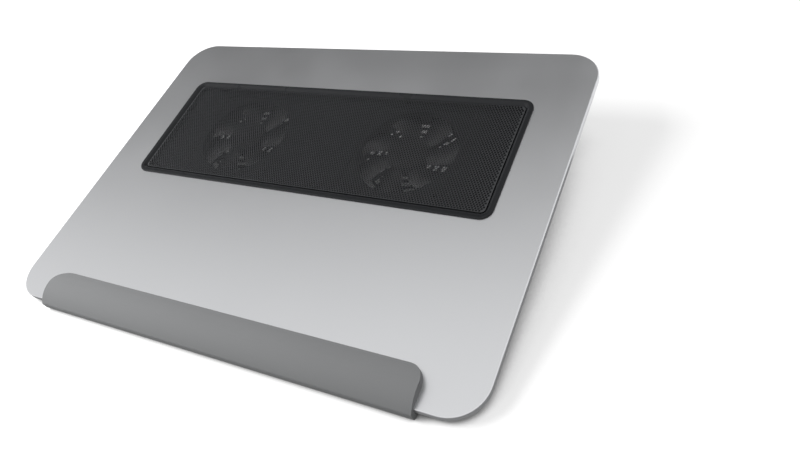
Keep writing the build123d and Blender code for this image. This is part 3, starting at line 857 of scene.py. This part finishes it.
    def thicken(self, face: Shape, loop: RoundedLoop) -> bpy.types.Mesh:
        """Turns the flat face into a solid with a wall round each hole and a turned edge round its rim.

        Args:
            face: the flat face; its rim's corners come last.
            loop: the sheet's outline.

        Returns:
            The solid.
        """
        face.verts.index_update()
        face.verts.ensure_lookup_table()
        count = len(face.verts)
        heights = (self.top, self.top - self.thickness)
        points = [(v.co.x, v.co.y, height) for height in heights for v in face.verts]
        rim = list(range(count - len(loop.ring(self.bend, self.top)), count))
        faces = []
        for polygon in face.faces:
            corners = [v.index for v in polygon.verts]
            if polygon.normal.z < 0:
                corners.reverse()
            faces.append(corners)
            faces.append([count + corner for corner in reversed(corners)])
            for start, end in around(corners):
                edge = face.edges.get((face.verts[start], face.verts[end]))
                if edge.is_boundary and min(start, end) < rim[0]:
                    faces.append([start, count + start, count + end, end])
        rings = [rim]
        for corner in self.edge_profile():
            rings.append(list(range(len(points), len(points) + len(rim))))
            points.extend(tuple(point) for point in loop.ring(*corner))
        rings.append([count + corner for corner in rim])
        for inner, outer in zip(rings, rings[1:]):
            for (start, end), (out_start, out_end) in zip(around(inner), around(outer)):
                faces.append([start, out_start, out_end, end])
        mesh = bpy.data.meshes.new("perforated_sheet")
        mesh.from_pydata(points, [], faces)
        return mesh


# --- screws


@dataclass
class CrossHeadScrews:
    """Countersunk screws of one kind, each with a cross recess in its head.

    Attributes:
        node: the CAD node that they stand for.
        body: the body that they ride on.
        slot: the record's material slot, not used.
        arm_reach: how far the recess's arms reach. This and the next two are shares of the head's radius.
        arm_width: half the arms' width.
        recess_depth: how deep the recess is.
        recess_taper: size of the recess's floor as a share of its mouth.
        edge: width of the softened edge round the head.
        steps: straight pieces round the head.
        next_turn: how much further each screw is driven round than the one before, in degrees.
    """

    node: str
    body: Body = Body.PAD
    slot: str = "black_screw"
    arm_reach: float = 0.62
    arm_width: float = 0.15
    recess_depth: float = 0.45
    recess_taper: float = 0.55
    edge: float = 0.1 * MM
    steps: int = 32
    next_turn: float = 37.0

    def build(self, finish: Material) -> None:
        """Makes every screw of this kind as one piece.

        Args:
            finish: the screws' material.
        """
        shape = bmesh.new()
        for place, points in enumerate(DECK.solids(self.node)):
            self.add_screw(shape, points, self.next_turn * place)
        mesh = to_mesh(shape, self.node, smooth=True)
        new_piece(f"{self.node}_cross_head", mesh, finish, self.body, (self.node,))

    def add_screw(self, shape: Shape, points: list[Vector], turn: float) -> None:
        """Adds one screw where a plain one stands, head downwards.

        Args:
            shape: the mesh being made.
            points: the plain screw's points in deck coordinates.
            turn: how far it was driven round, in degrees.
        """
        heights = sorted({round(p.z, LEVEL_DIGITS) for p in points})
        head, neck, tip = heights[0], heights[1], heights[-1]
        middle = [(min(p[i] for p in points) + max(p[i] for p in points)) / 2 for i in range(2)]
        axis = Vector([*middle, 0.0])
        wide = max((p - axis).xy.length for p in points)
        slim = max((p - axis).xy.length for p in points if p.z > neck)
        rings = (
            (wide - self.edge, head),
            (wide, head + self.edge),
            (slim, neck),
            (slim, tip - 2 * self.edge),
            (slim - 2 * self.edge, tip),
        )
        circles = [self.circle(shape, axis, radius, height) for radius, height in rings]
        for lower, upper in zip(circles, circles[1:]):
            bridge(shape, lower, upper)
        shape.faces.new(circles[-1])
        mouth = self.cross(shape, axis, wide, head, turn)
        floor = self.cross(shape, axis, self.recess_taper * wide, head + self.recess_depth * wide, turn)
        bridge(shape, floor, mouth)
        shape.faces.new(list(reversed(floor)))
        rim = [shape.edges.get(ends) for ring in (circles[0], mouth) for ends in around(ring)]
        bmesh.ops.triangle_fill(shape, use_beauty=True, edges=rim)
        bmesh.ops.recalc_face_normals(shape, faces=shape.faces)

    def circle(self, shape: Shape, axis: Vector, radius: float, height: float) -> Ring:
        """Adds a ring of points round a screw's axis."""
        lift = Vector((axis.x, axis.y, height))
        return [shape.verts.new(lift + radius * heading(360 * i / self.steps)) for i in range(self.steps)]

    def cross(self, shape: Shape, axis: Vector, radius: float, height: float, turn: float) -> Ring:
        """Adds a cross-shaped outline of the recess at one height.

        Args:
            shape: the mesh being made.
            axis: where the screw's axis is.
            radius: the length that the arms' reach and width are shares of.
            height: the outline's height.
            turn: the screw's turn in degrees.

        Returns:
            Its points.
        """
        reach, half = self.arm_reach * radius, self.arm_width * radius
        lift = Vector((axis.x, axis.y, height))
        outline = []
        for arm in range(4):
            ahead, aside = heading(turn + 90 * arm), heading(turn + 90 * arm + 90)
            corners = (reach * ahead - half * aside, reach * ahead + half * aside, half * (ahead + aside))
            outline.extend(shape.verts.new(lift + corner) for corner in corners)
        return outline


# --- power inlet


@dataclass
class InletContacts:
    """The insulator on the inlet's tongue and the contact springs along it.

    Attributes:
        node: the CAD node of the inlet's shell and tongue.
        wall: thickness of the shell's wall that the tongue stands on.
        tongue: width, length and height of the plain tongue inside.
        skin: thickness of the insulator round the tongue.
        skin_edge: radius of the insulator's edges.
        contacts: how many springs there are.
        contact_pitch: from one to the next.
        contact_width: of one spring.
        contact_height: how far a spring stands out.
        contact_setback: how far a spring ends behind the tongue's tip.
        contact_edge: radius of a spring's edges.
    """

    node: str = "power_socket"
    wall: float = 0.6 * MM
    tongue: Triple = (4.0 * MM, 7.2 * MM, 1.0 * MM)
    skin: float = 0.12 * MM
    skin_edge: float = 0.1 * MM
    contacts: int = 5
    contact_pitch: float = 0.8 * MM
    contact_width: float = 0.35 * MM
    contact_height: float = 0.12 * MM
    contact_setback: float = 0.4 * MM
    contact_edge: float = 0.04 * MM

    def build(self, insulator: Material, metal: Material) -> None:
        """Makes the insulator and the springs.

        Args:
            insulator: the insulator's material.
            metal: the springs' material.
        """
        low, high = DECK.box(self.node)
        middle = (low + high) / 2
        width, length, height = self.tongue
        half = Vector((width / 2 + self.skin, 0.0, height / 2 + self.skin))
        root, tip = low.y + self.wall, low.y + length
        underside = middle.z - half.z
        body = bmesh.new()
        add_block(
            body,
            Vector((middle.x - half.x, root, underside)),
            Vector((middle.x + half.x, tip + self.skin, middle.z + half.z)),
            self.skin_edge,
        )
        self.add("inlet_insulator", body, insulator, "nylon")
        springs = bmesh.new()
        for contact in range(self.contacts):
            x = middle.x + (contact - (self.contacts - 1) / 2) * self.contact_pitch
            add_block(
                springs,
                Vector((x - self.contact_width / 2, root, underside - self.contact_height)),
                Vector((x + self.contact_width / 2, tip - self.contact_setback, underside)),
                self.contact_edge,
            )
        self.add("inlet_contacts", springs, metal, "steel")

    @staticmethod
    def add(name: str, shape: Shape, finish: Material, slot: str) -> None:
        """Adds one of the two pieces and uses up its shape."""
        new_piece(name, to_mesh(shape, name, smooth=False), finish, Body.PAD)


# --- studio


@dataclass(frozen=True)
class Softbox:
    """A soft lamp aimed at the middle of the pad, polarised, so metal doesn't show it.

    Attributes:
        name: the lamp's name.
        place: where it hangs.
        size: width and height of its face.
        power: in watts.
    """

    name: str
    place: Triple
    size: Pair
    power: float

    def build(self) -> None:
        """Hangs the lamp."""
        light = bpy.data.lights.new(self.name, "AREA")
        light.shape = "RECTANGLE"
        light.size, light.size_y = self.size
        light.energy = self.power
        lamp = add_object(self.name, light)
        lamp.visible_glossy = False
        lamp.location = self.place
        lamp.rotation_euler = (-Vector(self.place)).to_track_quat("-Z", "Y").to_euler()
        log.info("hung %s", self.name)


@dataclass
class Studio:
    """A pale floor with painted shade beneath, a white surround, a soft lamp, and a glowing card and flag
    seen only in reflections, as painted reflections.

    Attributes:
        floor_size: side of the square floor.
        floor_tone: the floor's own colour.
        floor_glow: what the floor adds for the eye, on top of the light that it scatters.
        floor_reach: how near above the floor a thing has to be to take that glow away, painting shade under
            it.
        floor_sky: shares of open sky at which all of it and none of it is gone.
        floor_samples: rays that look for the open sky.
        surround: strength of the surround's light on dull surfaces.
        card_radius: how far the card hangs from the pad.
        card_ends: where its left and right ends hang.
        card_steps: flat pieces round its curve.
        card_foot: angle above the horizon at which it begins, in degrees.
        card_start: angle at which it starts to lighten.
        card_end: angle at which it ends, fully light.
        card_tones: its glow low behind the pad and at its head, which paints the metal's reflections from
            dark to light.
        gain: how much sooner it lightens at its right, as a factor on its brightness.
        gain_ends: where that begins and where it is full.
        flag_corners: the edge flag's front left corner, inner corner and rear right corner.
        flag_lift: how high it lies over the floor.
        flag_tone: its faint glow, which paints a darker reflection down the rim.
        lamp: the lamp.
    """

    floor_size: float = 8.0
    floor_tone: str = "#c6c6c6"
    floor_glow: float = 0.7
    floor_reach: float = 0.06
    floor_sky: Pair = (0.3, 0.6)
    floor_samples: int = 8
    surround: float = 0.22
    card_radius: float = 2.6
    card_ends: Pair = (-8.0, 0.1)
    card_steps: int = 12
    card_foot: float = 29.0
    card_start: float = 54.0
    card_end: float = 84.0
    card_tones: Pair = (0.04, 1.08)
    gain: float = 1.35
    gain_ends: Pair = (-2.0, -0.75)
    flag_corners: tuple[Pair, Pair, Pair] = ((-0.25, -0.27), (0.165, -0.118), (0.31, 0.09))
    flag_lift: float = 0.5 * MM
    flag_tone: float = 0.26
    lamp: Softbox = Softbox("key_softbox", (-0.85, -0.25, 0.9), (0.8, 0.6), 18.5)

    def build(self) -> None:
        """Sets up the floor, the surround, the card, the flag and the lamp."""
        self.lay_floor()
        self.paint_surround()
        self.hang_card()
        self.lay_flag()
        self.lamp.build()
        bpy.context.scene.view_settings.view_transform = "Standard"

    @staticmethod
    def seen(tree: Tree) -> Socket:
        """Tells what the eye sees, directly, in a reflection or through clear plastic, from all other light.

        Args:
            tree: a material's or the world's node tree.

        Returns:
            1 for such rays, else 0.
        """
        path = add_node(tree, "LightPath").outputs
        mirrored = calculate(tree, "MAXIMUM", path["Is Camera Ray"], path["Is Glossy Ray"])
        return calculate(tree, "MAXIMUM", mirrored, path["Is Transmission Ray"])

    @staticmethod
    def shine(tree: Tree, strength: float | Socket) -> None:
        """Makes a card give off light of that strength."""
        glow = add_node(tree, "Emission", {"Strength": strength}).outputs[0]
        add_node(tree, "OutputMaterial", {"Surface": glow})

    def lay_floor(self) -> None:
        """Lays the floor under the pad's feet: dull white, with a glow that leaves the shadows in and fades
        under the pad as painted shade.
        """
        reach, level = self.floor_size / 2, CAD_BOUNDS[0].z
        corners = ((-reach, -reach), (reach, -reach), (reach, reach), (-reach, reach))
        points = [(x, y, level) for x, y in corners]
        tree = self.stand("floor", "matt white laminate", points, [(0, 1, 2, 3)], mirror_only=False)
        dull = add_node(tree, "BsdfDiffuse", {"Color": linear(self.floor_tone)}).outputs[0]
        # Painted shade: the glow fades where the pad hangs low over the floor and hides its open sky.
        look_up = {"Distance": self.floor_reach}
        sky = add_node(tree, "AmbientOcclusion", look_up, samples=self.floor_samples).outputs["AO"]
        glow_less_painted_shade = remap(tree, sky, self.floor_sky, (0.0, self.floor_glow))
        share = calculate(tree, "MULTIPLY", self.seen(tree), glow_less_painted_shade)
        glow = add_node(tree, "Emission", {"Strength": share}).outputs[0]
        both = add_node(tree, "AddShader", {0: dull, 1: glow}).outputs[0]
        add_node(tree, "OutputMaterial", {"Surface": both})

    def paint_surround(self) -> None:
        """Makes the surround white to the eye and softer on dull surfaces."""
        world = bpy.data.worlds.new("white surround")
        bpy.context.scene.world = world
        tree = empty_tree(world)
        strength = remap(tree, self.seen(tree), (0.0, 1.0), (self.surround, 1.0))
        white = {"Color": linear("#ffffff"), "Strength": strength}
        light = add_node(tree, "Background", white).outputs[0]
        add_node(tree, "OutputWorld", {"Surface": light})

    def hang_card(self) -> None:
        """Hangs a curved card over the back of the pad that glows and only shows in reflections: a painted
        reflection.

        It glows least low behind the pad and turns white towards the top, so satin metal grades from dark at
        the rear to light at the front.
        """
        reach = self.card_radius
        span = self.card_end - self.card_foot
        arcs = [math.radians(self.card_foot + span * i / self.card_steps) for i in range(self.card_steps + 1)]
        points = [(x, reach * math.cos(arc), reach * math.sin(arc)) for arc in arcs for x in self.card_ends]
        faces = [(2 * i, 2 * i + 1, 2 * i + 3, 2 * i + 2) for i in range(self.card_steps)]
        tree = self.stand("curved_card", "card of painted reflections", points, faces, mirror_only=True)
        # Painted reflection: the card's glow grades with its angle above the pad and brightens towards its
        # right.
        place = add_node(tree, "TexCoord").outputs["Object"]
        axes = add_node(tree, "SeparateXYZ", {0: place}).outputs
        angle = calculate(tree, "ARCTAN2", axes["Z"], axes["Y"])
        lightening = (math.radians(self.card_start), math.radians(self.card_end))
        rise = remap(tree, angle, lightening, self.card_tones)
        gain = remap(tree, axes["X"], self.gain_ends, (1.0, self.gain))
        raised = calculate(tree, "MULTIPLY", rise, gain)
        self.shine(tree, calculate(tree, "MINIMUM", raised, self.card_tones[1]))

    def lay_flag(self) -> None:
        """Lays a faintly glowing dark strip at the right and front, seen only in reflections, which paints a
        grey line of shade down the deck's pale rim.
        """
        (left, front), (inner_x, inner_y), (right, rear) = self.flag_corners
        near = ((left, front), (right, front), (right, rear))
        far = ((inner_x, rear), (inner_x, inner_y), (left, inner_y))
        points = [(x, y, self.flag_lift) for x, y in near + far]
        tree = self.stand("edge_flag", "flag of painted rim shade", points, [(0, 1, 4, 5), (1, 2, 3, 4)], mirror_only=True)
        # Painted reflection of shade: the dim glow shows only in the rim's reflections.
        self.shine(tree, self.flag_tone)

    @staticmethod
    def stand(
        name: str, finish: str, points: list[Triple], faces: list[tuple[int, ...]], mirror_only: bool
    ) -> Tree:
        """Adds a sheet that isn't part of the pad, in an empty material.

        Args:
            name: the sheet's name.
            finish: the material's name.
            points: the sheet's corners.
            faces: the numbers of each face's corners.
            mirror_only: whether it shows in reflections alone.

        Returns:
            The material's node tree.
        """
        mesh = bpy.data.meshes.new(name)
        mesh.from_pydata(points, [], faces)
        sheet = add_object(name, mesh)
        if mirror_only:
            sheet.visible_camera = False
            sheet.visible_diffuse = False
            sheet.visible_transmission = False
            sheet.visible_shadow = False
        material = bpy.data.materials.new(finish)
        mesh.materials.append(material)
        return empty_tree(material)


@dataclass(frozen=True)
class CameraRig:
    """The camera, over the pad's front right corner.

    Attributes:
        place: where it stands, in deck coordinates.
        heading: how far it turns left of straight to the rear, in degrees.
        pitch: how far it looks down, in degrees.
        roll: how far it leans, in degrees.
        lens_mm: focal length.
        sensor_mm: width of the sensor.
    """

    place: Triple = (295.45 * MM, -230.4 * MM, 324.5 * MM)
    heading: float = 44.67
    pitch: float = 49.41
    roll: float = -27.45
    lens_mm: float = 30.2
    sensor_mm: float = 36.0

    def build(self) -> None:
        """Sets the camera up and makes it the scene's own."""
        data = bpy.data.cameras.new("camera")
        data.sensor_width = self.sensor_mm
        data.lens = self.lens_mm
        camera = add_object("camera", data)
        turn = (
            Matrix.Rotation(math.radians(self.heading), 4, "Z")
            @ Matrix.Rotation(math.radians(90 - self.pitch), 4, "X")
            @ Matrix.Rotation(math.radians(self.roll), 4, "Z")
        )
        camera.matrix_world = DECK.matrix @ Matrix.Translation(self.place) @ turn
        bpy.context.scene.camera = camera


# --- the whole pad


def pairs(*names: str) -> list[str]:
    """Names the left and the right node of each pair."""
    return [f"{name}_{side}" for name in names for side in ("left", "right")]


def dress_frame() -> None:
    """Gives each CAD node that stays its finish."""
    ANODISED.dress("top_plate")
    TUMBLED.dress("leg_frame")
    HOUSING_ABS.dress("base_panel", "fan_tray", *pairs("corner_block"))
    GREY_RUBBER.dress("front_lip", "leg_foot_bar")
    FAN_PBT.dress(*pairs("fan_frame"))
    BLADE_PC.dress(*pairs("fan_rotor"))
    DIE_CAST_ZINC.dress(*pairs("hinge_knuckle"))
    NICKELLED_STEEL.dress(*pairs("hinge_pin", "fan_shaft"), "power_socket")
    SINTERED_BRONZE.dress(*pairs("fan_bearing"))
    FERRITE.dress(*pairs("fan_magnet"))
    ENAMELLED_COPPER.dress(*pairs("fan_stator"))
    SOLDER_MASK.dress("control_board")
    NYLON.dress(*pairs("friction_washers"))
    PVC.dress(*pairs("fan_lead"))


def main() -> None:
    """Builds the pieces, dresses the CAD nodes and sets up the studio."""
    logging.basicConfig(level=logging.INFO, format="%(name)s: %(message)s")
    dress_frame()
    bezel = BezelFrame()
    bezel.build(BEZEL_PC.build())
    PerforatedSheet(bezel).build(MESH_STEEL.build())
    black_zinc = BLACK_ZINC.build()
    for node in ("base_screws", "tray_screws", "fan_screws", "block_screws"):
        CrossHeadScrews(node).build(black_zinc)
    CrossHeadScrews("knuckle_screws", body=Body.LEG, slot="steel").build(NICKELLED_STEEL.build())
    InletContacts().build(PVC.build(), GOLD_FLASH.build())
    Studio().build()
    CameraRig().build()


if __name__ == "__main__":
    main()
